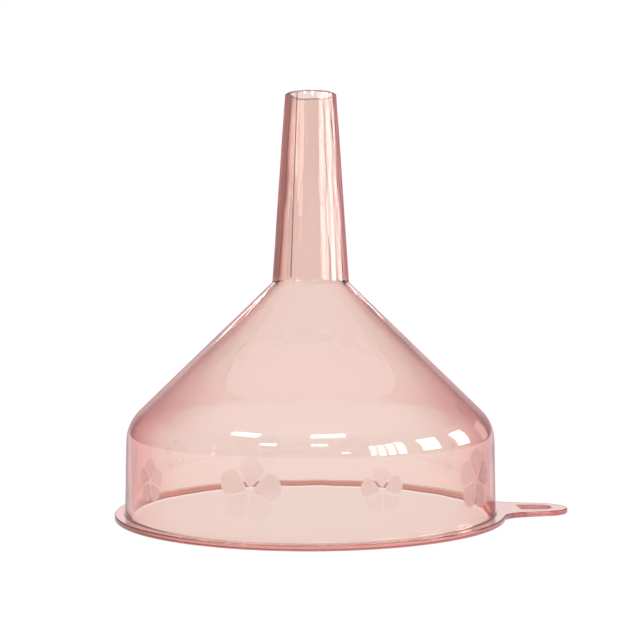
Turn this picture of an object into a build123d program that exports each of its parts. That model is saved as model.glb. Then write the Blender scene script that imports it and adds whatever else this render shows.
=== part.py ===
from build123d import *
from math import cos, radians, sin, tan
import os

# Kitchen funnel moulded in one shot from clear tinted plastic, stored standing on its mouth.
# Origin: centre of the mouth, on the plane that the rim rests on. +Z runs up the spout, +X out
# along the hang tab. The moulding is divided where its form changes, and each form is a solid
# that meets its neighbours face to face.

# ---- driving dimensions, mm ----
TOTAL_HEIGHT = 130.3
RIM_RADIUS = 60.0
RIM_THICKNESS = 1.6
RIM_EDGE_ROUND = 0.4
MOUTH_RADIUS = 55.4  # straight inner wall of the band
WALL = 1.2
SPOUT_WALL = 1.6

BAND_FOOT_RADIUS = 56.85  # outer wall, drafted inwards
BAND_CORNER_RADIUS = 56.5
BAND_CORNER_HEIGHT = 28.7  # where band and cone would meet without the shoulder's round
SHOULDER_ROUND = 13.0
CONE_HALF_ANGLE = 45.9  # degrees from the axis

SPOUT_FOOT_RADIUS = 11.95
SPOUT_TIP_RADIUS = 8.05
SPOUT_LIP_ROUND = 0.3
NECK_INNER_ROUND = 2.0
NECK_OUTER_ROUND = 0.5

SEAM_HEIGHT = 0.25
SEAM_WIDTH_ANGLE = 8.0
SEAM_ANGLES = {"spout_seam_front": -122.0, "spout_seam_back": 58.0}

TAB_END_RADIUS = 8.2
TAB_END_CENTRE = 72.1
TAB_ROOT_HALF_WIDTH = 11.4
TAB_ROOT_ROUND = 9.0
HOLE_START = 65.4
HOLE_LENGTH = 9.8
HOLE_HALF_WIDTH = 4.05
HOLE_ROOT_ROUND = 0.8
HOLE_END_ROUND = 3.4

BLOSSOM_COUNT = 10  # large and small ones in turn, the first small one over the tab
BLOSSOM_HEIGHT = 14.7
LARGE_BLOSSOM_RADIUS = 8.7
SMALL_BLOSSOM_RADIUS = 6.2
LARGE_BLOSSOM_TILT = -6.0
SMALL_BLOSSOM_TILT = 3.0
PETAL_COUNT = 5
PETAL_GAP = 0.6
PETAL_RELIEF = 0.2

# ---- heights where the moulding is divided ----
half_turn = CONE_HALF_ANGLE / 2
shoulder_tangent = SHOULDER_ROUND * tan(radians(half_turn))
shoulder_start = BAND_CORNER_HEIGHT - shoulder_tangent
shoulder_end = BAND_CORNER_HEIGHT + shoulder_tangent * cos(radians(CONE_HALF_ANGLE))
cone_slope = tan(radians(CONE_HALF_ANGLE))
spout_foot_height = BAND_CORNER_HEIGHT + (BAND_CORNER_RADIUS - SPOUT_FOOT_RADIUS) / cone_slope
neck_start = spout_foot_height - 3.0
neck_end = spout_foot_height + 3.0

# ---- inner corners, one wall inside the outer ones ----
inner_cone_step = WALL / cos(radians(CONE_HALF_ANGLE))
spout_inner_foot = SPOUT_FOOT_RADIUS - SPOUT_WALL
spout_inner_tip = SPOUT_TIP_RADIUS - SPOUT_WALL


def inner_cone_height(radius):
    """Height at which the cone's inner face has this radius."""
    return BAND_CORNER_HEIGHT + (BAND_CORNER_RADIUS - inner_cone_step - radius) / cone_slope


def band_outer_radius(height):
    """Outer radius of the drafted band at a height."""
    draft = (BAND_FOOT_RADIUS - BAND_CORNER_RADIUS) / (BAND_CORNER_HEIGHT - RIM_THICKNESS)
    return BAND_FOOT_RADIUS - draft * (height - RIM_THICKNESS)


def spout_outer_radius(height):
    """Outer radius of the tapered spout at a height."""
    taper = (SPOUT_FOOT_RADIUS - SPOUT_TIP_RADIUS) / (TOTAL_HEIGHT - spout_foot_height)
    return SPOUT_FOOT_RADIUS - taper * (height - spout_foot_height)


def corner(face, radius, height):
    """The vertex of an XZ profile nearest to a radius and height."""
    return face.vertices().sort_by_distance((radius, 0, height))[0]


def wall_profile():
    """Half section of the whole wall above the rim, in the XZ plane."""
    inner_shoulder = inner_cone_height(MOUTH_RADIUS)
    inner_neck = inner_cone_height(spout_inner_foot)
    outline = Polyline(
        (MOUTH_RADIUS, 0, RIM_THICKNESS),
        (BAND_FOOT_RADIUS, 0, RIM_THICKNESS),
        (BAND_CORNER_RADIUS, 0, BAND_CORNER_HEIGHT),
        (SPOUT_FOOT_RADIUS, 0, spout_foot_height),
        (SPOUT_TIP_RADIUS, 0, TOTAL_HEIGHT),
        (spout_inner_tip, 0, TOTAL_HEIGHT),
        (spout_inner_foot, 0, inner_neck),
        (MOUTH_RADIUS, 0, inner_shoulder),
        close=True,
    )
    face = make_face(outline)
    rounds = [
        (BAND_CORNER_RADIUS, BAND_CORNER_HEIGHT, SHOULDER_ROUND),
        (MOUTH_RADIUS, inner_shoulder, SHOULDER_ROUND - WALL),
        (SPOUT_FOOT_RADIUS, spout_foot_height, NECK_OUTER_ROUND),
        (spout_inner_foot, inner_neck, NECK_INNER_ROUND),
        (SPOUT_TIP_RADIUS, TOTAL_HEIGHT, SPOUT_LIP_ROUND),
        (spout_inner_tip, TOTAL_HEIGHT, SPOUT_LIP_ROUND),
    ]
    for radius, height, round_radius in rounds:
        face = fillet(corner(face, radius, height), round_radius)
    return face


def slab(low, high):
    """A wide disc between two heights, for cutting the wall into its forms."""
    centred = (Align.CENTER, Align.CENTER, Align.MIN)
    return Pos(0, 0, low) * Cylinder(RIM_RADIUS + 5, high - low, align=centred)


def ring_between(profile_radius, low, high, height_out, angle=360.0):
    """A thin skin standing height_out off a tapered face between two heights."""
    foot, top = profile_radius(low), profile_radius(high)
    section = Polyline(
        (foot, 0, low),
        (foot + height_out, 0, low),
        (top + height_out, 0, high),
        (top, 0, high),
        close=True,
    )
    return revolve(make_face(section), Axis.Z, angle)


# ---- rim and hang tab ----
def rim_flange():
    """Flat flange round the mouth, with its outer edges rounded."""
    section = Polyline(
        (MOUTH_RADIUS, 0, 0),
        (RIM_RADIUS, 0, 0),
        (RIM_RADIUS, 0, RIM_THICKNESS),
        (MOUTH_RADIUS, 0, RIM_THICKNESS),
        close=True,
    )
    face = make_face(section)
    for height in (0, RIM_THICKNESS):
        face = fillet(corner(face, RIM_RADIUS, height), RIM_EDGE_ROUND)
    return revolve(face, Axis.Z)


def tab_outline():
    """Rim disc and tab in one outline, with the tab's root flared into the rim."""
    root = 40.0
    slope = (TAB_ROOT_HALF_WIDTH - TAB_END_RADIUS) / (TAB_END_CENTRE - RIM_RADIUS)
    root_half_width = TAB_ROOT_HALF_WIDTH + slope * (RIM_RADIUS - root)
    blade = Polyline(
        (root, -root_half_width),
        (TAB_END_CENTRE, -TAB_END_RADIUS),
        (TAB_END_CENTRE, TAB_END_RADIUS),
        (root, root_half_width),
        close=True,
    )
    outline = Circle(RIM_RADIUS) + make_face(blade) + Pos(TAB_END_CENTRE, 0) * Circle(TAB_END_RADIUS)
    flares = [v for v in outline.vertices() if abs(v.X - RIM_RADIUS) < 2.5 and v.X < RIM_RADIUS]
    return fillet(flares, TAB_ROOT_ROUND)


def tab_hole():
    """D-shaped hole, square towards the rim and round towards the tip."""
    middle = HOLE_START + HOLE_LENGTH / 2
    hole = Pos(middle, 0) * Rectangle(HOLE_LENGTH, 2 * HOLE_HALF_WIDTH)
    ends = hole.vertices().group_by(Axis.X)
    hole = fillet(ends[-1], HOLE_END_ROUND)
    return fillet(hole.vertices().group_by(Axis.X)[0], HOLE_ROOT_ROUND)


def hang_tab():
    """Flat eye beyond the rim, as thick as the flange and with the same round on its edges."""
    plate = extrude(tab_outline() - tab_hole(), RIM_THICKNESS)
    levels = plate.edges().group_by(Axis.Z)
    plate = fillet(levels[0] + levels[-1], RIM_EDGE_ROUND)
    inside = Pos(0, 0, RIM_THICKNESS / 2) * Cylinder(RIM_RADIUS - 2 * RIM_EDGE_ROUND, 2 * RIM_THICKNESS)
    return plate - inside - rim_flange()


# ---- spout seams ----
def spout_seam(angle):
    """Fine raised strip up the outside of the spout, where the mould halves part."""
    low = neck_end
    high = TOTAL_HEIGHT - 2 * SPOUT_LIP_ROUND
    strip = ring_between(spout_outer_radius, low, high, SEAM_HEIGHT, SEAM_WIDTH_ANGLE)
    return Rot(0, 0, angle - SEAM_WIDTH_ANGLE / 2) * strip


# ---- blossoms in low relief round the band ----
def petal_sketch(radius, direction):
    """One rounded petal, cut straight along both neighbours so that a clear line is left."""
    half_pitch = 180.0 / PETAL_COUNT
    tip_radius = 0.43 * radius
    tip = Pos(radius - tip_radius, 0) * Circle(tip_radius)
    heart = PETAL_GAP / 2 / sin(radians(half_pitch))
    reach = 1.5 * radius
    spread = (reach - heart) * tan(radians(half_pitch))
    sector = make_face(Polyline((heart, 0), (reach, -spread), (reach, spread), close=True))
    throat = make_face(
        Polyline((heart, 0), (radius - tip_radius, -tip_radius), (radius - tip_radius, tip_radius), close=True)
    )
    return Rot(0, 0, direction) * ((tip + throat) & sector)


def blossom(radius, tilt):
    """Five petals standing off the band at the +X side, before they are turned into place."""
    low = BLOSSOM_HEIGHT - radius - 1
    high = BLOSSOM_HEIGHT + radius + 1
    skin = ring_between(band_outer_radius, low, high, PETAL_RELIEF)
    outwards = Plane(
        origin=(MOUTH_RADIUS - 5, 0, BLOSSOM_HEIGHT), x_dir=(0, 1, 0), z_dir=(1, 0, 0)
    )
    petals = []
    for number in range(PETAL_COUNT):
        direction = 90.0 + tilt + number * 360.0 / PETAL_COUNT
        prism = extrude(outwards * petal_sketch(radius, direction), 10)
        petals += (skin & prism).solids()
    return Compound(children=petals)


# ---- build and write ----
wall = revolve(wall_profile(), Axis.Z)
nodes = {
    "rim_flange": rim_flange(),
    "hang_tab": hang_tab(),
    "band_wall": wall & slab(RIM_THICKNESS, shoulder_start),
    "shoulder": wall & slab(shoulder_start, shoulder_end),
    "cone_wall": wall & slab(shoulder_end, neck_start),
    "neck": wall & slab(neck_start, neck_end),
    "spout_tube": wall & slab(neck_end, TOTAL_HEIGHT),
}
for name, angle in SEAM_ANGLES.items():
    nodes[name] = spout_seam(angle)

small = blossom(SMALL_BLOSSOM_RADIUS, SMALL_BLOSSOM_TILT)
large = blossom(LARGE_BLOSSOM_RADIUS, LARGE_BLOSSOM_TILT)
for number in range(BLOSSOM_COUNT):
    turned = Rot(0, 0, number * 360.0 / BLOSSOM_COUNT)
    nodes[f"blossom_{number + 1:02d}"] = turned * (large if number % 2 else small)

os.makedirs("parts", exist_ok=True)
for name, shape in nodes.items():
    export_step(shape, f"parts/{name}.step")
print("heights:", round(shoulder_start, 2), round(shoulder_end, 2), round(spout_foot_height, 2))
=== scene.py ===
import math

import bmesh
import bpy
from bpy.props import FloatProperty, FloatVectorProperty, IntProperty, PointerProperty
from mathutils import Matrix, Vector
from mathutils.geometry import tessellate_polygon


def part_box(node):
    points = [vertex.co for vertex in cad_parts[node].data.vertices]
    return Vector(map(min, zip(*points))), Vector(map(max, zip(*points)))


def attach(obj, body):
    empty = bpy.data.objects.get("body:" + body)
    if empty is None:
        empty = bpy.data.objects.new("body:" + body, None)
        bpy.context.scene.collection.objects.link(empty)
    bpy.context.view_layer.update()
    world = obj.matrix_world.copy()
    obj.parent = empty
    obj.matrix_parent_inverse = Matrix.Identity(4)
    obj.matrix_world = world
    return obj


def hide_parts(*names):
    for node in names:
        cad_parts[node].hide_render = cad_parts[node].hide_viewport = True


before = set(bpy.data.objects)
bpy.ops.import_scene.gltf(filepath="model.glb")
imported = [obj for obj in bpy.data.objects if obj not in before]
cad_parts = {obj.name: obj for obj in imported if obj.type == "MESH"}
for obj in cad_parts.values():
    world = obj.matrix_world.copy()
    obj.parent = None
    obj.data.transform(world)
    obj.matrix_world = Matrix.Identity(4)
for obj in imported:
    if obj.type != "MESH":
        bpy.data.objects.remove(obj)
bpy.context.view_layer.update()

bl_info = {
    "name": "Tinted Kitchen Funnel",
    "version": (1, 0, 0),
    "blender": (4, 5, 0),
    "location": "View3D > Sidebar > Funnel",
    "description": "Builds a clear tinted plastic funnel with blossoms in relief, and its studio",
    "category": "Add Mesh",
}

BODY = "root"
CLEAR_SLOT = "clear_pink_plastic"
FROSTED_SLOT = "frosted_pink_plastic"
WALL_NODES = ("rim_flange", "hang_tab", "band_wall", "shoulder", "cone_wall", "neck", "spout_tube")
SEAM_NODES = ("spout_seam_front", "spout_seam_back")
BLOSSOM_NODES = tuple(sorted(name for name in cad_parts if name.startswith("blossom_")))

RIM_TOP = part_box("rim_flange")[1]
SPOUT_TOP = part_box("spout_tube")[1]
NECK_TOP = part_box("neck")[1]

# lathe: points on each round, longest straight step, and the ripple's grain
ARC_POINTS = 8
WALL_STEP = 0.0018
RIPPLE_SEED = 3.0
RIPPLE_GRAIN = 110.0
RIPPLE_STRETCH = (1.5, 1.5, 0.8)
RIPPLE_STARTS, RIPPLE_FULL = 0.003, 0.008  # heights between which the ripple sets in
RIPPLE_LOW, RIPPLE_HIGH = (0.04, 0.4), (0.12, 4.0)  # height and strength, low and high on the wall
WELD = 2e-6

# a petal: steps round it, share of its length that is the round tip, and (scale, height) of its rings
PETAL_STEPS = 48
PETAL_TIP = 0.43
PETAL_ROWS = ((0.0, -0.25), (1.0, -0.25), (1.0, 0.0), (0.9, 0.3), (0.75, 0.65), (0.55, 0.9), (0.0, 1.0))

# rounds of the wall that are too small to be settings
LIP_ROUND = 0.0003
NECK_OUTER_ROUND = 0.0005
NECK_INNER_ROUND = 0.002

# outlines of flange, tab and hole: steps along each arc, and rings over a rounded edge
TIP_STEPS, FLARE_STEPS, RIM_STEPS = 14, 16, 130
HOLE_END_STEPS, HOLE_ROOT_STEPS = 10, 6
EDGE_STEPS = 5

# seams: depth let into the wall, eased share of each half, steps across that and up the seam
SEAM_SINK = 0.00012
SEAM_EASE = 0.4
SEAM_EASE_STEPS = 4
SEAM_STEPS = 24
SEAM_FOOT = NECK_TOP.z - 0.002
SEAM_BELOW_TIP = 0.0006

# heights and radius that tell the funnel's regions apart in the material
SPOUT_BLEND = (NECK_TOP.z - 0.003, NECK_TOP.z - 0.001)
CONE_BLEND = (0.030, 0.045)
FLANGE_CLEAR = 0.003
LIP_LOW = SPOUT_TOP.z - 0.0004
SIDE_RADIUS = 0.057
SIDE_LOW, SIDE_HIGH = 0.0001, 0.0014

# how far a wall turns from the eye, 0 to 1, where its painted edge shade sets in and where it is full: on band, cone
# and spout
EDGE_SHADE_STARTS = (0.24, 0.45, 0.34)
EDGE_SHADE_FULL = (0.90, 1.00, 0.64)
# the same for the painted dark lines, a matte part mixed in where a wall is seen edge on
LINE_SHADE_STARTS = (0.74, 0.74, 0.55)
LINE_SHADE_FULL = (0.96, 0.96, 0.80)

# roughness, scale and height of the grain on clear plastic, and scale and height of the petals' grain
CLEAR_FINISH = (0.012, 45.0, 0.00002)
FROSTED_GRAIN = (9000.0, 0.00003)
ROUGHNESS_SPREAD = (0.7, 1.3)
GRAIN_STRENGTH = 0.5

# normals: how level a face is to count as flat, and the angle that shades as a crease
LEVEL = 0.9999
CREASE = math.radians(35)


def length(name, default, description):
    """A size property, in metres."""
    return FloatProperty(
        name=name, default=default, description=description, unit="LENGTH", subtype="DISTANCE", precision=5
    )


def angle(name, degrees, description):
    """An angle property, stored in radians."""
    return FloatProperty(
        name=name, default=math.radians(degrees), description=description, unit="ROTATION", subtype="ANGLE"
    )


def colour(name, default, description):
    """A linear RGB property."""
    return FloatVectorProperty(
        name=name, default=default, description=description, size=3, subtype="COLOR", min=0.0, max=1.0
    )


# ---------------------------------------------------------------- what a user may change


class FunnelWallSizes(bpy.types.PropertyGroup):
    """Sizes of the turned wall, from the mouth to the spout's tip."""

    total_height: length("Total Height", SPOUT_TOP.z, "Mouth plane to spout tip")
    mouth_radius: length("Mouth Radius", 0.0554, "Straight inner wall of the band")
    band_foot_radius: length("Band Foot Radius", 0.05685, "Outer wall where it meets the rim")
    band_corner_radius: length("Band Corner Radius", 0.0565, "Where the band and cone lines cross")
    band_corner_height: length("Band Corner Height", 0.0287, "Height of that crossing")
    cone_half_angle: angle("Cone Half Angle", 45.9, "Between the cone and the axis")
    shoulder_round: length("Shoulder Round", 0.013, "Outer round between band and cone")
    spout_foot_radius: length("Spout Foot Radius", 0.01195, "Outer radius where the spout leaves the cone")
    spout_tip_radius: length("Spout Tip Radius", 0.00805, "Outer radius at the tip")
    wall: length("Wall", 0.0012, "Thickness of the moulded wall")
    spout_wall: length("Spout Wall", 0.0016, "Thickness of the spout's wall")
    segments: IntProperty(name="Segments", default=256, min=32, description="Steps round the axis")
    ripple: length("Ripple", 0.00008, "Unevenness that cooling leaves on the wall")


class FunnelRimSizes(bpy.types.PropertyGroup):
    """Sizes of the flange and the hang tab."""

    rim_radius: length("Rim Radius", RIM_TOP.x, "Outer radius of the flange")
    thickness: length("Thickness", RIM_TOP.z, "Thickness of flange and tab")
    edge_round: length("Edge Round", 0.0004, "Round on the outer edges")
    foot_round: length("Foot Round", 0.0005, "Round between the band and the flange")
    tab_end_radius: length("Tab End Radius", 0.0082, "Round end of the tab")
    tab_end_centre: length("Tab End Centre", 0.0721, "Centre of that round, from the axis")
    tab_side_angle: angle("Tab Side Angle", 13.7, "How fast the tab widens towards the rim")
    tab_root_round: length("Tab Root Round", 0.009, "Flare between tab and rim")
    hole_start: length("Hole Start", 0.0654, "Square end of the hole, from the axis")
    hole_length: length("Hole Length", 0.0098, "Length of the hole along the tab")
    hole_half_width: length("Hole Half Width", 0.00405, "Half the hole's width")
    hole_root_round: length("Hole Root Round", 0.0008, "Corners at the hole's square end")
    hole_end_round: length("Hole End Round", 0.0034, "Corners at the hole's round end")


class FunnelBlossomSizes(bpy.types.PropertyGroup):
    """Sizes of the blossoms in low relief."""

    count: IntProperty(name="Blossoms", default=10, min=2, description="Blossoms round the band")
    petals: IntProperty(name="Petals", default=5, min=3, description="Petals in a blossom")
    height: length("Height", 0.0147, "Height of the blossoms' centres")
    large_radius: length("Large Radius", 0.0087, "Centre to petal tip of the large blossoms")
    small_radius: length("Small Radius", 0.0062, "Centre to petal tip of the small blossoms")
    large_tilt: angle("Large Tilt", -6.0, "Turn of the large blossoms")
    small_tilt: angle("Small Tilt", 3.0, "Turn of the small blossoms")
    gap: length("Gap", 0.0006, "Clear line between petals")
    relief: length("Relief", 0.00006, "How far the petals stand off the band")


class FunnelSeamSizes(bpy.types.PropertyGroup):
    """Sizes of the raised seams up the spout."""

    height: length("Height", 0.00024, "How far a seam stands off the spout")
    width_angle: angle("Width", 8.0, "Width of a seam, as an angle about the axis")
    front_angle: angle("Front Seam", -125.0, "Place of the first seam about the axis")


class FunnelPlastic(bpy.types.PropertyGroup):
    """Colour and finish of the plastic, and the shade painted on its edges."""

    passed_colour: colour("Passed Colour", (0.97, 0.68, 0.61), "White light after the depth below")
    face_colour: colour("Face Colour", (0.95, 0.995, 1.0), "Tint where the wall faces the eye")
    # painted shade: the base colour darkens to this as the wall turns away from the eye
    edge_shade_colour: colour("Edge Colour", (0.76, 0.34, 0.38), "Tint where the wall turns away from the eye")
    # painted shade: dark matte colours and shares for the flange's and tab's side walls, for walls seen edge on, and
    # for the lip
    side_shade_colour: colour("Side Colour", (0.58, 0.24, 0.25), "Matte part of the flange's and tab's side walls")
    side_shade_share: FloatProperty(name="Side Matte", default=0.45, min=0.0, max=1.0, description="Its share")
    line_shade_colour: colour("Line Colour", (0.32, 0.09, 0.13), "Matte part where a wall is seen edge on")
    line_shade_share: FloatProperty(name="Line Matte", default=0.6, min=0.0, max=1.0, description="Its share")
    lip_shade_share: FloatProperty(name="Lip Matte", default=0.4, min=0.0, max=1.0, description="Its share at the lip")
    depth: length("Depth", 0.0024, "Depth of plastic that leaves the passed colour")
    ior: FloatProperty(name="IOR", default=1.53, min=1.0, description="How strongly the plastic bends light")
    frost_ior: FloatProperty(name="Frost IOR", default=1.25, min=1.0, description="How the petals bend light")
    frost: FloatProperty(name="Frost", default=0.25, min=0.0, max=1.0, description="Roughness of the petals")


class FunnelStudio(bpy.types.PropertyGroup):
    """Camera, backdrop and lights."""

    azimuth: angle("Azimuth", -2.0, "Direction of the camera about the axis")
    distance: length("Distance", 0.3467, "Camera to axis")
    camera_height: length("Camera Height", 0.0575, "Camera above the floor")
    sideways: length("Sideways", 0.0029, "Camera to the right of the axis")
    pitch: angle("Pitch", 0.43, "Upward tilt of the camera")
    lens: FloatProperty(name="Lens", default=62.6, description="Focal length in millimetres")
    backdrop: FloatProperty(name="Backdrop", default=1.01, min=0.0, description="Brightness behind the object")
    # painted shadow: the floor's colour inside the mouth, standing for light that has come through the plastic
    floor_painted_shade: colour("Floor Tint", (0.90, 0.80, 0.76), "Floor inside the mouth, lit through the plastic")
    behind: FloatProperty(name="Behind", default=0.96, min=0.0, description="Backdrop as seen in the plastic")
    room: FloatProperty(name="Room", default=0.40, min=0.0, description="Brightness of the room behind the camera")
    ceiling: FloatProperty(name="Ceiling", default=0.95, min=0.0, description="Brightness overhead")
    window: FloatProperty(name="Window", default=6.0, min=0.0, description="Brightness of the windows")


SETTINGS = {
    "funnel_wall": FunnelWallSizes,
    "funnel_rim": FunnelRimSizes,
    "funnel_blossoms": FunnelBlossomSizes,
    "funnel_seams": FunnelSeamSizes,
    "funnel_plastic": FunnelPlastic,
    "funnel_studio": FunnelStudio,
}


# ---------------------------------------------------------------- node trees


def new_tree(name, inputs):
    """A geometry tree with a Geometry input, named inputs and one Geometry output."""
    tree = bpy.data.node_groups.new(name, "GeometryNodeTree")
    tree.interface.new_socket("Geometry", in_out="INPUT", socket_type="NodeSocketGeometry")
    for title, kind in inputs:
        tree.interface.new_socket(title, in_out="INPUT", socket_type="NodeSocket" + kind)
    tree.interface.new_socket("Geometry", in_out="OUTPUT", socket_type="NodeSocketGeometry")
    return tree, tree.nodes.new("NodeGroupInput").outputs, tree.nodes.new("NodeGroupOutput").inputs


def wire(tree, socket, value):
    """Links or sets one input socket."""
    if isinstance(value, bpy.types.NodeSocket):
        tree.links.new(value, socket)
    else:
        socket.default_value = value


def node(tree, kind, inputs=None, **settings):
    """Adds a node with its settings and its inputs, by name or by place."""
    made = tree.nodes.new(kind)
    for key, value in settings.items():
        setattr(made, key, value)
    for key, value in (inputs or {}).items():
        wire(tree, made.inputs[key], value)
    return made


def calc(tree, operation, a, b=0.0, c=0.0):
    """One step of arithmetic."""
    return node(tree, "ShaderNodeMath", {0: a, 1: b, 2: c}, operation=operation).outputs[0]


def finish_tree(tree, outputs, geometry, material):
    """Realizes instances, sets the material and ends the tree."""
    real = node(tree, "GeometryNodeRealizeInstances", {0: geometry}).outputs[0]
    done = node(tree, "GeometryNodeSetMaterial", {"Geometry": real, "Material": material}).outputs[0]
    tree.links.new(done, outputs[0])


def made_by_nodes(name, source, tree, values):
    """Runs a tree on a mesh and returns the result as a plain mesh."""
    carrier = bpy.data.objects.new(name + "_carrier", source)
    bpy.context.scene.collection.objects.link(carrier)
    modifier = carrier.modifiers.new(tree.name, "NODES")
    modifier.node_group = tree
    for item in tree.interface.items_tree:
        if item.item_type == "SOCKET" and item.in_out == "INPUT" and item.name in values:
            modifier[item.identifier] = values[item.name]
    carrier.update_tag()
    bpy.context.view_layer.update()
    evaluated = carrier.evaluated_get(bpy.context.evaluated_depsgraph_get())
    mesh = bpy.data.meshes.new_from_object(evaluated)
    bpy.data.objects.remove(carrier)
    if not len(mesh.polygons):
        raise RuntimeError(f"{name}: the tree made no faces")
    mesh.name = name
    return mesh


def lathe_tree(material):
    """Rounds the corners of a profile, divides its straights, and turns it about Z."""
    tree, given, outputs = new_tree(
        "Funnel wall lathe",
        [("Segments", "Int"), ("Arc Points", "Int"), ("Step", "Float"), ("Ripple", "Float"), ("Seed", "Float")],
    )
    curve = node(tree, "GeometryNodeMeshToCurve", {0: given["Geometry"]}).outputs[0]
    rounding = node(tree, "GeometryNodeInputNamedAttribute", {"Name": "round"}, data_type="FLOAT")
    curve = node(
        tree,
        "GeometryNodeFilletCurve",
        {"Curve": curve, "Count": given["Arc Points"], "Radius": rounding.outputs[0]},
        mode="POLY",
    ).outputs[0]
    here = node(tree, "GeometryNodeInputPosition").outputs[0]
    index = node(tree, "GeometryNodeInputIndex").outputs[0]
    following = node(tree, "GeometryNodeOffsetPointInCurve", {"Point Index": index, "Offset": 1})
    there = node(
        tree,
        "GeometryNodeFieldAtIndex",
        {"Index": following.outputs["Point Index"], "Value": here},
        data_type="FLOAT_VECTOR",
    ).outputs[0]
    run = node(tree, "ShaderNodeVectorMath", {0: here, 1: there}, operation="DISTANCE").outputs["Value"]
    cuts = calc(tree, "FLOOR", calc(tree, "DIVIDE", run, given["Step"]))
    curve = node(tree, "GeometryNodeSubdivideCurve", {"Curve": curve, "Cuts": cuts}).outputs[0]

    count = node(tree, "GeometryNodeAttributeDomainSize", {0: curve}, component="CURVE").outputs["Point Count"]
    around = calc(tree, "ADD", given["Segments"], 1.0)
    grid = node(tree, "GeometryNodeMeshGrid", {"Vertices X": around, "Vertices Y": count}).outputs["Mesh"]
    sample = node(
        tree,
        "GeometryNodeSampleIndex",
        {"Geometry": curve, "Value": here, "Index": calc(tree, "MODULO", index, count)},
        data_type="FLOAT_VECTOR",
        domain="POINT",
    ).outputs[0]
    turn = calc(tree, "FLOOR", calc(tree, "DIVIDE", index, count))
    turn = calc(tree, "MULTIPLY", turn, calc(tree, "DIVIDE", 2 * math.pi, given["Segments"]))
    place = node(
        tree, "ShaderNodeVectorRotate", {"Vector": sample, "Angle": turn}, rotation_type="Z_AXIS"
    ).outputs[0]
    wall = node(tree, "GeometryNodeSetPosition", {"Geometry": grid, "Position": place}).outputs[0]
    wall = node(tree, "GeometryNodeMergeByDistance", {0: wall, "Distance": 1e-6}).outputs[0]

    stretched = node(tree, "ShaderNodeVectorMath", {0: here, 1: RIPPLE_STRETCH}, operation="MULTIPLY").outputs[0]
    noise = node(
        tree,
        "ShaderNodeTexNoise",
        {"Vector": stretched, "W": given["Seed"], "Scale": RIPPLE_GRAIN, "Detail": 1.0},
        noise_dimensions="4D",
    ).outputs[0]
    height = calc(tree, "MULTIPLY", calc(tree, "SUBTRACT", noise, 0.5), given["Ripple"])
    level = node(tree, "ShaderNodeSeparateXYZ", {0: here}).outputs["Z"]
    clear_of_rim = node(tree, "ShaderNodeMapRange", {0: level, 1: RIPPLE_STARTS, 2: RIPPLE_FULL}).outputs[0]
    (low, weak), (high, strong) = RIPPLE_LOW, RIPPLE_HIGH
    upwards = node(tree, "ShaderNodeMapRange", {0: level, 1: low, 2: high, 3: weak, 4: strong}).outputs[0]
    height = calc(tree, "MULTIPLY", height, calc(tree, "MULTIPLY", clear_of_rim, upwards))
    normal = node(tree, "GeometryNodeInputNormal").outputs[0]
    offset = node(tree, "ShaderNodeVectorMath", {0: normal, "Scale": height}, operation="SCALE").outputs[0]
    wall = node(tree, "GeometryNodeSetPosition", {"Geometry": wall, "Offset": offset}).outputs[0]
    finish_tree(tree, outputs, wall, material)
    return tree


def petal(tree, given, radius):
    """One petal as a thin closed pad, flat in XY, pointing along X from the blossom's centre."""
    rows = len(PETAL_ROWS)
    index = node(tree, "GeometryNodeInputIndex").outputs[0]
    grid = node(tree, "GeometryNodeMeshGrid", {"Vertices X": PETAL_STEPS + 1, "Vertices Y": rows}).outputs["Mesh"]
    turn = calc(tree, "FLOOR", calc(tree, "DIVIDE", index, rows))
    turn = calc(tree, "MULTIPLY", turn, 2 * math.pi / PETAL_STEPS)
    row = calc(tree, "MODULO", index, rows)
    half_pitch = calc(tree, "DIVIDE", math.pi, given["Petals"])
    tip = calc(tree, "MULTIPLY", radius, PETAL_TIP)
    centre = calc(tree, "SUBTRACT", radius, tip)
    heart = calc(tree, "DIVIDE", calc(tree, "MULTIPLY", given["Gap"], 0.5), calc(tree, "SINE", half_pitch))
    side = calc(tree, "MULTIPLY", calc(tree, "SUBTRACT", centre, heart), calc(tree, "SINE", half_pitch))
    folded = calc(tree, "ABSOLUTE", calc(tree, "WRAP", turn, math.pi, -math.pi))
    facing = calc(tree, "COSINE", calc(tree, "SUBTRACT", folded, calc(tree, "ADD", half_pitch, math.pi / 2)))
    cut = calc(tree, "DIVIDE", side, calc(tree, "MAXIMUM", facing, 0.01))
    reach = calc(tree, "MINIMUM", tip, cut)
    scale, height = 0.0, 0.0
    for number, (row_scale, row_height) in enumerate(PETAL_ROWS):
        here = calc(tree, "COMPARE", row, float(number), 0.5)
        scale = calc(tree, "MULTIPLY_ADD", here, row_scale, scale)
        height = calc(tree, "MULTIPLY_ADD", here, row_height, height)
    reach = calc(tree, "MULTIPLY", reach, scale)
    place = node(
        tree,
        "ShaderNodeCombineXYZ",
        {
            "X": calc(tree, "MULTIPLY_ADD", reach, calc(tree, "COSINE", turn), centre),
            "Y": calc(tree, "MULTIPLY", reach, calc(tree, "SINE", turn)),
            "Z": calc(tree, "MULTIPLY", height, given["Relief"]),
        },
    ).outputs[0]
    pad = node(tree, "GeometryNodeSetPosition", {"Geometry": grid, "Position": place}).outputs[0]
    return node(tree, "GeometryNodeMergeByDistance", {0: pad, "Distance": 1e-7}).outputs[0]


def turned_copies(tree, count, instance, first, axis, **choice):
    """Copies of an instance turned about an axis in equal steps."""
    points = node(tree, "GeometryNodePoints", {"Count": count}).outputs[0]
    index = node(tree, "GeometryNodeInputIndex").outputs[0]
    step = calc(tree, "DIVIDE", 2 * math.pi, count)
    turn = calc(tree, "MULTIPLY_ADD", index, step, first)
    turn = node(tree, "ShaderNodeCombineXYZ", {axis: turn}).outputs[0]
    values = {"Points": points, "Instance": instance, "Rotation": turn, **choice}
    return node(tree, "GeometryNodeInstanceOnPoints", values).outputs[0]


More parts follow.
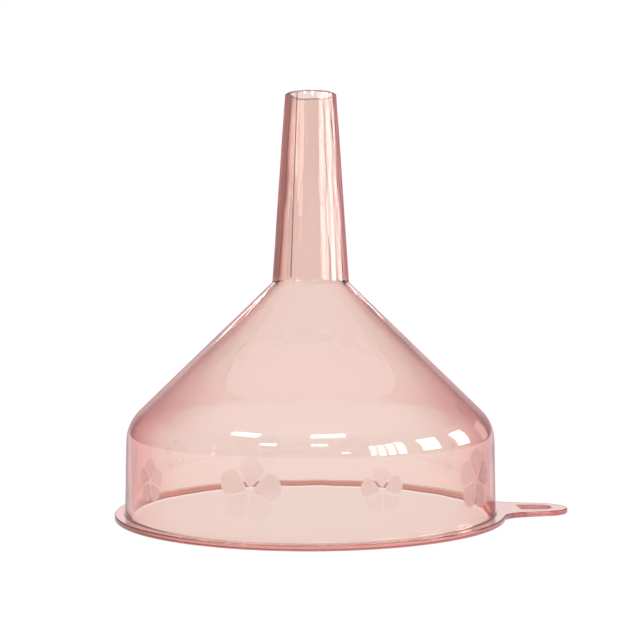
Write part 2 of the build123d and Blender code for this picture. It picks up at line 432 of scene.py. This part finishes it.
def blossom_tree(material):
    """Petals in a whorl, wrapped on the drafted band, with large and small blossoms in turn."""
    tree, given, outputs = new_tree(
        "Funnel blossoms",
        [
            ("Count", "Int"), ("Petals", "Int"), ("Height", "Float"),
            ("Large Radius", "Float"), ("Small Radius", "Float"),
            ("Large Tilt", "Float"), ("Small Tilt", "Float"), ("Gap", "Float"), ("Relief", "Float"),
            ("Foot Radius", "Float"), ("Foot Height", "Float"), ("Draft", "Float"),
        ],
    )
    here = node(tree, "GeometryNodeInputPosition").outputs[0]
    x, y, z = node(tree, "ShaderNodeSeparateXYZ", {0: here}).outputs
    up = calc(tree, "ADD", y, given["Height"])
    above_foot = calc(tree, "SUBTRACT", up, given["Foot Height"])
    skin = calc(tree, "MULTIPLY_ADD", above_foot, given["Draft"], given["Foot Radius"])
    skin = calc(tree, "ADD", skin, z)
    squares = calc(tree, "SUBTRACT", calc(tree, "MULTIPLY", skin, skin), calc(tree, "MULTIPLY", x, x))
    depth = calc(tree, "SQRT", squares)
    wrapped = node(tree, "ShaderNodeCombineXYZ", {"X": depth, "Y": x, "Z": up}).outputs[0]
    kinds = []
    for kind in ("Small", "Large"):
        first = calc(tree, "ADD", given[kind + " Tilt"], math.pi / 2)
        whorl = turned_copies(tree, given["Petals"], petal(tree, given, given[kind + " Radius"]), first, "Z")
        whorl = node(tree, "GeometryNodeRealizeInstances", {0: whorl}).outputs[0]
        whorl = node(tree, "GeometryNodeSetPosition", {"Geometry": whorl, "Position": wrapped}).outputs[0]
        kinds.append(node(tree, "GeometryNodeGeometryToInstance", {0: whorl}).outputs[0])
    pair = node(tree, "GeometryNodeJoinGeometry").inputs[0]
    for kind in reversed(kinds):
        tree.links.new(kind, pair)
    index = node(tree, "GeometryNodeInputIndex").outputs[0]
    choice = {"Pick Instance": True, "Instance Index": calc(tree, "MODULO", index, 2.0)}
    ring = turned_copies(tree, given["Count"], pair.node.outputs[0], 0.0, "Z", **choice)
    finish_tree(tree, outputs, ring, material)
    return tree


# ---------------------------------------------------------------- materials


def absorption(plastic):
    """Colour and density of a volume that leaves the passed colour at the given depth."""
    taken = [-math.log(c) / plastic.depth for c in plastic.passed_colour]
    density = max(taken)
    return [1 - t / density for t in taken], density


def eased(tree, value, start, end):
    """0 to 1 while a value goes from start to end, eased at both ends."""
    return node(
        tree, "ShaderNodeMapRange", {0: value, 1: start, 2: end}, interpolation_type="SMOOTHSTEP"
    ).outputs[0]


def blended(tree, share, first, second):
    """A colour between two, by share."""
    return node(tree, "ShaderNodeMix", {0: share, 6: (*first, 1), 7: (*second, 1)}, data_type="RGBA").outputs[2]


def by_region(tree, regions, values):
    """A value that differs on the band, on the cone and flange, and on the spout."""
    sloped, tube = regions
    band, cone, spout = values
    return calc(tree, "MULTIPLY_ADD", tube, spout - cone, calc(tree, "MULTIPLY_ADD", sloped, cone - band, band))


def turned_away(tree, facing, regions, starts, full):
    """0 to 1 as the wall turns away from the eye, at each region's own rate."""
    return eased(tree, facing, by_region(tree, regions, starts), by_region(tree, regions, full))


def painted_shade_part(tree, facing, place, regions, plastic, frosted):
    """Share and colour of the painted shade, a dark matte part: on the side walls of flange and tab, on walls seen
    edge on, and at the lip.
    """
    x, y, z = place
    reach = calc(tree, "SQRT", calc(tree, "MULTIPLY_ADD", x, x, calc(tree, "MULTIPLY", y, y)))
    side = calc(tree, "GREATER_THAN", reach, SIDE_RADIUS)
    side = calc(tree, "MULTIPLY", side, calc(tree, "LESS_THAN", z, SIDE_HIGH))
    side = calc(tree, "MULTIPLY", side, calc(tree, "GREATER_THAN", z, SIDE_LOW))
    line = turned_away(tree, facing, regions, LINE_SHADE_STARTS, LINE_SHADE_FULL)
    line = calc(tree, "MULTIPLY", line, calc(tree, "GREATER_THAN", z, FLANGE_CLEAR))
    line = calc(tree, "MULTIPLY", line, 0.0 if frosted else plastic.line_shade_share)
    lip = calc(tree, "MULTIPLY", calc(tree, "GREATER_THAN", z, LIP_LOW), 0.0 if frosted else plastic.lip_shade_share)
    share = calc(tree, "MULTIPLY_ADD", side, plastic.side_shade_share, calc(tree, "MAXIMUM", line, lip))
    return share, blended(tree, side, plastic.line_shade_colour, plastic.side_shade_colour)


def plastic_material(name, plastic, frosted, roughness, grain_scale, grain_height):
    """Clear tinted plastic: bends light, takes up green and blue with depth, has a fine grain, and has painted shade
    where its walls turn from the eye.
    """
    material = bpy.data.materials.new(name)
    material.use_nodes = True
    tree = material.node_tree
    tree.nodes.clear()
    place = node(tree, "ShaderNodeTexCoord").outputs["Object"]
    x, y, z = node(tree, "ShaderNodeSeparateXYZ", {0: place}).outputs
    facing = node(tree, "ShaderNodeLayerWeight", {"Blend": 0.5}).outputs["Facing"]
    sloped = node(tree, "ShaderNodeMapRange", {0: z, 1: CONE_BLEND[0], 2: CONE_BLEND[1]}).outputs[0]
    sloped = calc(tree, "MAXIMUM", sloped, calc(tree, "LESS_THAN", z, FLANGE_CLEAR))
    tube = node(tree, "ShaderNodeMapRange", {0: z, 1: SPOUT_BLEND[0], 2: SPOUT_BLEND[1]}).outputs[0]
    regions = (sloped, tube)

    shader = node(tree, "ShaderNodeBsdfPrincipled")
    face = (1, 1, 1) if frosted else plastic.face_colour
    # painted shade at the edges: the base colour goes from the face colour to the dark edge colour as the wall turns
    # from the eye
    edge = turned_away(tree, facing, regions, EDGE_SHADE_STARTS, EDGE_SHADE_FULL)
    wire(tree, shader.inputs["Base Color"], blended(tree, edge, face, plastic.edge_shade_colour))
    shader.inputs["Transmission Weight"].default_value = 1.0
    shader.inputs["IOR"].default_value = plastic.frost_ior if frosted else plastic.ior
    grain = node(tree, "ShaderNodeTexNoise", {"Vector": place, "Scale": grain_scale, "Detail": 2.0}).outputs[0]
    least, most = (roughness * part for part in ROUGHNESS_SPREAD)
    wire(tree, shader.inputs["Roughness"], node(tree, "ShaderNodeMapRange", {0: grain, 3: least, 4: most}).outputs[0])
    bump = node(tree, "ShaderNodeBump", {"Height": grain, "Strength": GRAIN_STRENGTH, "Distance": grain_height})
    wire(tree, shader.inputs["Normal"], bump.outputs[0])

    # painted shade: a dark diffuse mixed in on side walls, on walls seen edge on and at the lip
    share, colour_there = painted_shade_part(tree, facing, (x, y, z), regions, plastic, frosted)
    matte = node(tree, "ShaderNodeBsdfDiffuse", {"Color": colour_there})
    surface = node(tree, "ShaderNodeMixShader", {0: share, 1: shader.outputs[0], 2: matte.outputs[0]})
    tint, density = absorption(plastic)
    volume = node(tree, "ShaderNodeVolumeAbsorption", {"Color": (*tint, 1), "Density": density})
    node(tree, "ShaderNodeOutputMaterial", {"Surface": surface.outputs[0], "Volume": volume.outputs[0]})
    return material


def material_of(slot, context):
    """The clear or the frosted plastic, made once."""
    plastic = context.scene.funnel_plastic
    name = {CLEAR_SLOT: "clear tinted plastic", FROSTED_SLOT: "frosted tinted plastic"}[slot]
    if name not in bpy.data.materials:
        if slot == CLEAR_SLOT:
            plastic_material(name, plastic, False, *CLEAR_FINISH)
        else:
            plastic_material(name, plastic, True, plastic.frost, *FROSTED_GRAIN)
    return bpy.data.materials[name]


# ---------------------------------------------------------------- the moulding


def wall_corners(wall, rim):
    """Corners of the wall's half section as (radius, height, round), from flange top to underside."""
    slope = math.tan(wall.cone_half_angle)
    slant = wall.wall / math.cos(wall.cone_half_angle)
    foot_height = wall.band_corner_height + (wall.band_corner_radius - wall.spout_foot_radius) / slope

    def inner_height(radius):
        return wall.band_corner_height + (wall.band_corner_radius - slant - radius) / slope

    inner_foot = wall.spout_foot_radius - wall.spout_wall
    inner_tip = wall.spout_tip_radius - wall.spout_wall
    margin = 2 * rim.foot_round
    return [
        (wall.band_foot_radius + margin, rim.thickness, 0),
        (wall.band_foot_radius, rim.thickness, rim.foot_round),
        (wall.band_corner_radius, wall.band_corner_height, wall.shoulder_round),
        (wall.spout_foot_radius, foot_height, NECK_OUTER_ROUND),
        (wall.spout_tip_radius, wall.total_height, LIP_ROUND),
        (inner_tip, wall.total_height, LIP_ROUND),
        (inner_foot, inner_height(inner_foot), NECK_INNER_ROUND),
        (wall.mouth_radius, inner_height(wall.mouth_radius), wall.shoulder_round - wall.wall),
        (wall.mouth_radius, 0, rim.edge_round),
        (wall.mouth_radius + margin, 0, 0),
    ]


def profile_mesh(corners):
    """The half section as a chain of edges in the XZ plane, with each corner's round on it."""
    mesh = bpy.data.meshes.new("funnel_section")
    mesh.from_pydata(
        [(radius, 0, height) for radius, height, _ in corners],
        [(i, i + 1) for i in range(len(corners) - 1)],
        [],
    )
    rounds = mesh.attributes.new("round", "FLOAT", "POINT")
    rounds.data.foreach_set("value", [corner[2] for corner in corners])
    return mesh


def arc(centre, radius, start, end, steps):
    """Points and outward directions along an arc, as (x, y, nx, ny)."""
    found = []
    for i in range(steps + 1):
        a = start + (end - start) * i / steps
        c, s = math.cos(a), math.sin(a)
        found.append((centre[0] + radius * c, centre[1] + radius * s, c, s))
    return found


def mirrored(points):
    """The same points on the other side of the tab, in reverse."""
    return [(x, -y, nx, -ny) for x, y, nx, ny in reversed(points)]


def plate_outline(rim):
    """Outline of flange and tab, anticlockwise, as (x, y, nx, ny)."""
    side, end, flare = rim.tab_side_angle, rim.tab_end_radius, rim.tab_root_round
    # the flare's centre is one flare outside both the rim and the tab's straight side
    reach = rim.rim_radius + flare
    turn = math.asin((end + flare + rim.tab_end_centre * math.sin(side)) / reach) - side
    centre = (reach * math.cos(turn), reach * math.sin(turn))
    tip = arc((rim.tab_end_centre, 0), end, 0, math.pi / 2 - side, TIP_STEPS)
    bend = arc(centre, flare, -math.pi / 2 - side, turn - math.pi, FLARE_STEPS)
    bend = [(x, y, -nx, -ny) for x, y, nx, ny in bend]
    half = tip + bend + arc((0, 0), rim.rim_radius, turn, math.pi, RIM_STEPS)[1:]
    return half + mirrored(half)[1:-1]


def hole_outline(rim):
    """Outline of the tab's hole, anticlockwise, with directions out of the hole."""
    near, far = rim.hole_start, rim.hole_start + rim.hole_length
    half = rim.hole_half_width
    big, small = rim.hole_end_round, rim.hole_root_round
    upper = arc((far - big, half - big), big, 0, math.pi / 2, HOLE_END_STEPS)
    upper += arc((near + small, half - small), small, math.pi / 2, math.pi, HOLE_ROOT_STEPS)
    return upper + mirrored(upper)


def add_ring(bm, outline, inset, height):
    """A closed ring of vertices, inset from the outline along its directions."""
    return [bm.verts.new((x - inset * nx, y - inset * ny, height)) for x, y, nx, ny in outline]


def skin_rings(bm, rings, outward):
    """Quads between rings of equal length."""
    for low, high in zip(rings, rings[1:]):
        count = len(low)
        for i in range(count):
            j = (i + 1) % count
            corners = (low[i], low[j], high[j], high[i])
            bm.faces.new(corners if outward else corners[::-1])


def rounded_side(bm, outline, rim, sign):
    """Rings over a rounded edge, a straight side and another rounded edge, from bottom to top."""
    r, top = rim.edge_round, rim.thickness
    turns = [math.pi / 2 * i / EDGE_STEPS for i in range(EDGE_STEPS + 1)]
    rings = [add_ring(bm, outline, sign * r * (1 - math.sin(a)), r * (1 - math.cos(a))) for a in turns]
    rings += [add_ring(bm, outline, sign * r * (1 - math.cos(a)), top - r * (1 - math.sin(a))) for a in turns]
    return rings


def cap(bm, loops, upward):
    """Fills the flat region between an outer loop and the loops inside it."""
    flat = [vert for loop in loops for vert in loop]
    for triangle in tessellate_polygon([[vert.co for vert in loop] for loop in loops]):
        face = bm.faces.new([flat[i] for i in triangle])
        face.normal_update()
        if (face.normal.z > 0) != upward:
            face.normal_flip()


def add_plate(bm, wall, rim):
    """Flange and hang tab, open where the turned wall joins them."""
    outer = rounded_side(bm, plate_outline(rim), rim, 1)
    hole = rounded_side(bm, hole_outline(rim), rim, -1)
    skin_rings(bm, outer, True)
    skin_rings(bm, hole, False)
    margin = 2 * rim.foot_round
    band_foot = arc((0, 0), wall.band_foot_radius + margin, 0, 2 * math.pi, wall.segments)[:-1]
    mouth = arc((0, 0), wall.mouth_radius + margin, 0, 2 * math.pi, wall.segments)[:-1]
    top = add_ring(bm, band_foot, 0, rim.thickness)
    bottom = add_ring(bm, mouth, 0, 0)
    cap(bm, [outer[-1], top, hole[-1]], True)
    cap(bm, [outer[0], bottom, hole[0]], False)


def flat_normals(mesh, levels):
    """Keeps flat faces flat and rounds smooth, with normals set vertex by vertex."""
    flat = set()
    for polygon in mesh.polygons:
        if abs(polygon.normal.z) > LEVEL and any(abs(polygon.center.z - z) < 1e-6 for z in levels):
            flat.update(polygon.vertices)
    normals = [
        Vector((0, 0, 1 if v.normal.z > 0 else -1)) if v.index in flat else v.normal.copy()
        for v in mesh.vertices
    ]
    mesh.shade_smooth()
    mesh.normals_split_custom_set_from_vertices(normals)


def outward(mesh):
    """Turns every face of closed shells outwards and shades them smooth with crisp edges."""
    bm = bmesh.new()
    bm.from_mesh(mesh)
    bmesh.ops.recalc_face_normals(bm, faces=bm.faces)
    bm.to_mesh(mesh)
    bm.free()
    mesh.shade_smooth()
    mesh.set_sharp_from_angle(angle=CREASE)


def spout_outer(wall, height):
    """Outer radius of the spout at a height."""
    slope = math.tan(wall.cone_half_angle)
    foot = wall.band_corner_height + (wall.band_corner_radius - wall.spout_foot_radius) / slope
    part = (height - foot) / (wall.total_height - foot)
    return wall.spout_foot_radius + part * (wall.spout_tip_radius - wall.spout_foot_radius)


def seam_mesh(name, sizes, wall, turn):
    """A raised strip with eased edges, let a little into the spout's wall."""
    half = sizes.width_angle / 2
    low, high = SEAM_FOOT, wall.total_height - SEAM_BELOW_TIP
    parts = [i / SEAM_EASE_STEPS for i in range(SEAM_EASE_STEPS + 1)]
    section = [(-1, -SEAM_SINK)]
    section += [(-1 + SEAM_EASE * part, sizes.height * math.sin(math.pi / 2 * part)) for part in parts]
    section += [(-x, h) for x, h in reversed(section[1:])] + [(1, -SEAM_SINK)]
    section += [(x, -SEAM_SINK) for x in (0.5, 0, -0.5)]
    bm = bmesh.new()
    rings = []
    for i in range(SEAM_STEPS + 1):
        z = low + (high - low) * i / SEAM_STEPS
        ring = []
        for x, h in section:
            r = spout_outer(wall, z) + h
            ring.append(bm.verts.new((r * math.cos(turn + x * half), r * math.sin(turn + x * half), z)))
        rings.append(ring)
    skin_rings(bm, rings, True)
    bm.faces.new(rings[0])
    bm.faces.new(rings[-1])
    mesh = bpy.data.meshes.new(name)
    bm.to_mesh(mesh)
    bm.free()
    return mesh


def closed(mesh):
    """True if every edge has two faces."""
    bm = bmesh.new()
    bm.from_mesh(mesh)
    ok = all(len(edge.link_faces) == 2 for edge in bm.edges)
    bm.free()
    return ok


def add_piece(name, mesh, nodes):
    """Makes a mesh a piece of the funnel, standing for CAD nodes."""
    piece = bpy.data.objects.new(name, mesh)
    bpy.context.scene.collection.objects.link(piece)
    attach(piece, BODY)
    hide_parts(*nodes)
    return piece


class FUNNEL_OT_moulding(bpy.types.Operator):
    """Turn the wall, add the flange and hang tab, and weld them into one clear moulding"""

    bl_idname = "funnel.moulding"
    bl_label = "Moulding"

    def execute(self, context):
        wall, rim = context.scene.funnel_wall, context.scene.funnel_rim
        clear = material_of(CLEAR_SLOT, context)
        turned = made_by_nodes(
            "funnel_wall",
            profile_mesh(wall_corners(wall, rim)),
            lathe_tree(clear),
            {
                "Segments": wall.segments, "Arc Points": ARC_POINTS, "Step": WALL_STEP,
                "Ripple": wall.ripple, "Seed": RIPPLE_SEED,
            },
        )
        bm = bmesh.new()
        bm.from_mesh(turned)
        add_plate(bm, wall, rim)
        bmesh.ops.remove_doubles(bm, verts=bm.verts, dist=WELD)
        bmesh.ops.recalc_face_normals(bm, faces=bm.faces)
        mesh = bpy.data.meshes.new("funnel_moulding")
        bm.to_mesh(mesh)
        bm.free()
        mesh.materials.append(clear)
        if not closed(mesh):
            raise RuntimeError("the moulding is not closed")
        flat_normals(mesh, (0.0, rim.thickness))
        add_piece("funnel_moulding", mesh, WALL_NODES)
        return {"FINISHED"}


class FUNNEL_OT_blossoms(bpy.types.Operator):
    """Set frosted blossoms of five petals in low relief round the band"""

    bl_idname = "funnel.blossoms"
    bl_label = "Blossoms"

    def execute(self, context):
        sizes, wall, rim = context.scene.funnel_blossoms, context.scene.funnel_wall, context.scene.funnel_rim
        frosted = material_of(FROSTED_SLOT, context)
        draft = (wall.band_corner_radius - wall.band_foot_radius) / (wall.band_corner_height - rim.thickness)
        mesh = made_by_nodes(
            "blossoms",
            bpy.data.meshes.new("blossoms_seed"),
            blossom_tree(frosted),
            {
                "Count": sizes.count, "Petals": sizes.petals, "Height": sizes.height,
                "Large Radius": sizes.large_radius, "Small Radius": sizes.small_radius,
                "Large Tilt": sizes.large_tilt, "Small Tilt": sizes.small_tilt,
                "Gap": sizes.gap, "Relief": sizes.relief,
                "Foot Radius": wall.band_foot_radius, "Foot Height": rim.thickness, "Draft": draft,
            },
        )
        outward(mesh)
        if not closed(mesh):
            raise RuntimeError("a petal is not closed")
        add_piece("blossoms", mesh, BLOSSOM_NODES)
        return {"FINISHED"}


class FUNNEL_OT_seams(bpy.types.Operator):
    """Raise the two mould seams up the outside of the spout"""

    bl_idname = "funnel.seams"
    bl_label = "Spout Seams"

    def execute(self, context):
        sizes, wall = context.scene.funnel_seams, context.scene.funnel_wall
        clear = material_of(CLEAR_SLOT, context)
        for name, turn in zip(SEAM_NODES, (sizes.front_angle, sizes.front_angle + math.pi)):
            mesh = seam_mesh(name, sizes, wall, turn)
            mesh.materials.append(clear)
            outward(mesh)
            if not closed(mesh):
                raise RuntimeError(f"{name} is not closed")
            add_piece(name, mesh, (name,))
        return {"FINISHED"}


# ---------------------------------------------------------------- camera, backdrop and lights


# the studio: distance of the panes, half angles of the white behind the object and of the darker room,
# upward directions between which the ceiling sets in, and the floor
PANE_REACH = 1.6
WHITE_ANGLE, ROOM_ANGLE = math.radians(13), math.radians(31)
CEILING_STARTS, CEILING_FULL = 0.55, 0.9
FLOOR_RADIUS = 6
FLOOR_DROP = 0.0002
FLOOR_GAIN = 1.02
FLOOR_MATTE = 0.06
MOUTH_BLEND = 0.002

# azimuth, elevation, width and height of each bright pane in degrees, as the funnel sees it, and its strength
WINDOWS = (
    ("pane_a", 35.5, 13, 3.3, 20, 1.1),
    ("pane_b", 41.0, 13, 4.3, 22, 1.1),
    ("pane_c", 47.2, 14, 4.9, 23, 1.1),
    ("pane_d", 54.0, 15, 5.5, 24, 1.1),
    ("pane_e", 75.3, 16, 13.5, 21, 1.5),
    ("pane_f", 104.0, 15, 12.5, 20, 1.3),
    ("pane_g", 133.0, 10, 12, 16, 0.1),
    ("lamp_mid", 12, 51, 17, 7, 2.0),
    ("lamp_left", -52, 48, 15, 7, 2.0),
    ("lamp_low_left", -28, 29, 9, 5, 1.5),
    ("lamp_low", 4, 29, 9, 5, 1.5),
    ("lamp_right", 19, 10, 5, 4, 1.2),
    ("strip_left", -157.5, 24, 1.6, 8, 0.7),
    ("strip_right", 157.5, 24, 1.6, 8, 0.7),
)


def add_window(name, azimuth, elevation, wide, high, strength):
    """A bright pane facing the funnel from a direction."""
    a, e = math.radians(azimuth), math.radians(elevation)
    direction = Vector((math.sin(a) * math.cos(e), -math.cos(a) * math.cos(e), math.sin(e)))
    light = bpy.data.lights.new(name, "AREA")
    light.shape = "RECTANGLE"
    light.size = 2 * PANE_REACH * math.tan(math.radians(wide / 2))
    light.size_y = 2 * PANE_REACH * math.tan(math.radians(high / 2))
    light.energy = strength * math.pi * light.size * light.size_y
    lamp = bpy.data.objects.new(name, light)
    lamp.location = direction * PANE_REACH
    lamp.rotation_euler = direction.to_track_quat("Z", "Y").to_euler()
    bpy.context.scene.collection.objects.link(lamp)


def add_world(studio):
    """White behind the object, a darker room in front of it."""
    world = bpy.data.worlds.new("studio")
    bpy.context.scene.world = world
    world.use_nodes = True
    tree = world.node_tree
    tree.nodes.clear()
    direction = node(tree, "ShaderNodeTexCoord").outputs["Generated"]
    x, y, z = node(tree, "ShaderNodeSeparateXYZ", {0: direction}).outputs
    aside = calc(tree, "ABSOLUTE", calc(tree, "ARCTAN2", x, y))
    level = node(
        tree,
        "ShaderNodeMapRange",
        {0: aside, 1: WHITE_ANGLE, 2: ROOM_ANGLE, 3: studio.behind, 4: studio.room},
        interpolation_type="SMOOTHSTEP",
    ).outputs[0]
    above = eased(tree, z, CEILING_STARTS, CEILING_FULL)
    level = node(tree, "ShaderNodeMix", {0: above, 2: level, 3: studio.ceiling}, data_type="FLOAT").outputs[0]
    seen = node(tree, "ShaderNodeLightPath").outputs["Is Camera Ray"]
    level = node(tree, "ShaderNodeMix", {0: seen, 2: level, 3: studio.backdrop}, data_type="FLOAT").outputs[0]
    light = node(tree, "ShaderNodeBackground", {"Color": (1, 1, 1, 1), "Strength": level})
    node(tree, "ShaderNodeOutputWorld", {"Surface": light.outputs[0]})


def floor_material(studio, mouth_radius):
    """White glowing floor as bright as the backdrop, with the plastic's shadow painted on it inside the mouth as a
    pink tint.
    """
    material = bpy.data.materials.new("studio_floor")
    material.use_nodes = True
    tree = material.node_tree
    tree.nodes.clear()
    place = node(tree, "ShaderNodeTexCoord").outputs["Object"]
    away = node(tree, "ShaderNodeVectorMath", {0: place}, operation="LENGTH").outputs["Value"]
    inside = node(
        tree, "ShaderNodeMapRange", {0: away, 1: mouth_radius, 2: mouth_radius - MOUTH_BLEND, 3: 0.0, 4: 1.0}
    ).outputs[0]
    # painted shadow of the plastic: the glow takes the painted floor shade inside the mouth
    tint = blended(tree, inside, (1, 1, 1), studio.floor_painted_shade)
    glow = node(tree, "ShaderNodeEmission", {"Color": tint, "Strength": FLOOR_GAIN * studio.backdrop})
    matte = node(tree, "ShaderNodeBsdfDiffuse", {"Color": (0.9, 0.9, 0.9, 1)})
    mixed = node(tree, "ShaderNodeMixShader", {0: FLOOR_MATTE, 1: glow.outputs[0], 2: matte.outputs[0]})
    node(tree, "ShaderNodeOutputMaterial", {"Surface": mixed.outputs[0]})
    return material


class FUNNEL_OT_studio(bpy.types.Operator):
    """Set up the camera, the white floor, the backdrop and the windows"""

    bl_idname = "funnel.studio"
    bl_label = "Studio"

    def execute(self, context):
        studio = context.scene.funnel_studio
        scene = context.scene
        scene.view_settings.view_transform = "Standard"
        scene.cycles.max_bounces = 24
        scene.cycles.transmission_bounces = 24
        scene.cycles.glossy_bounces = 8
        a = studio.azimuth
        back = Vector((math.sin(a), -math.cos(a), 0))
        right = Vector((math.cos(a), math.sin(a), 0))
        camera = bpy.data.objects.new("camera", bpy.data.cameras.new("camera"))
        scene.collection.objects.link(camera)
        camera.data.lens = studio.lens
        camera.data.clip_start, camera.data.clip_end = 0.01, 50
        up = Vector((0, 0, studio.camera_height))
        camera.location = back * studio.distance + right * studio.sideways + up
        camera.rotation_euler = (math.pi / 2 + studio.pitch, 0, a)
        scene.camera = camera
        add_world(studio)

        bm = bmesh.new()
        bmesh.ops.create_circle(bm, cap_ends=True, radius=FLOOR_RADIUS, segments=96)
        mesh = bpy.data.meshes.new("studio_floor")
        bm.to_mesh(mesh)
        bm.free()
        mesh.materials.append(floor_material(studio, scene.funnel_wall.mouth_radius))
        floor = bpy.data.objects.new("studio_floor", mesh)
        floor.location.z = -FLOOR_DROP
        scene.collection.objects.link(floor)

        for name, az, el, width, height, strength in WINDOWS:
            add_window(name, az, el, width, height, studio.window * strength)
        return {"FINISHED"}


class FUNNEL_PT_panel(bpy.types.Panel):
    """Lists the funnel's pieces and their settings"""

    bl_label = "Funnel"
    bl_idname = "FUNNEL_PT_panel"
    bl_space_type = "VIEW_3D"
    bl_region_type = "UI"
    bl_category = "Funnel"

    def draw(self, context):
        for operator in OPERATORS:
            self.layout.operator(operator.bl_idname)
        for name, group in SETTINGS.items():
            box = self.layout.box()
            box.label(text=group.__doc__)
            settings = getattr(context.scene, name)
            for key in group.__annotations__:
                box.prop(settings, key)


OPERATORS = (FUNNEL_OT_studio, FUNNEL_OT_moulding, FUNNEL_OT_seams, FUNNEL_OT_blossoms)


def register():
    """Adds the settings, the operators and the panel."""
    for group in SETTINGS.values():
        bpy.utils.register_class(group)
    for name, group in SETTINGS.items():
        setattr(bpy.types.Scene, name, PointerProperty(type=group))
    for cls in (*OPERATORS, FUNNEL_PT_panel):
        bpy.utils.register_class(cls)


def unregister():
    """Takes them away again."""
    for cls in (FUNNEL_PT_panel, *OPERATORS):
        bpy.utils.unregister_class(cls)
    for name, group in SETTINGS.items():
        delattr(bpy.types.Scene, name)
        bpy.utils.unregister_class(group)


def main():
    """Builds the studio and every piece."""
    register()
    bpy.ops.funnel.studio()
    bpy.ops.funnel.moulding()
    bpy.ops.funnel.seams()
    bpy.ops.funnel.blossoms()


if __name__ == "__main__":
    main()
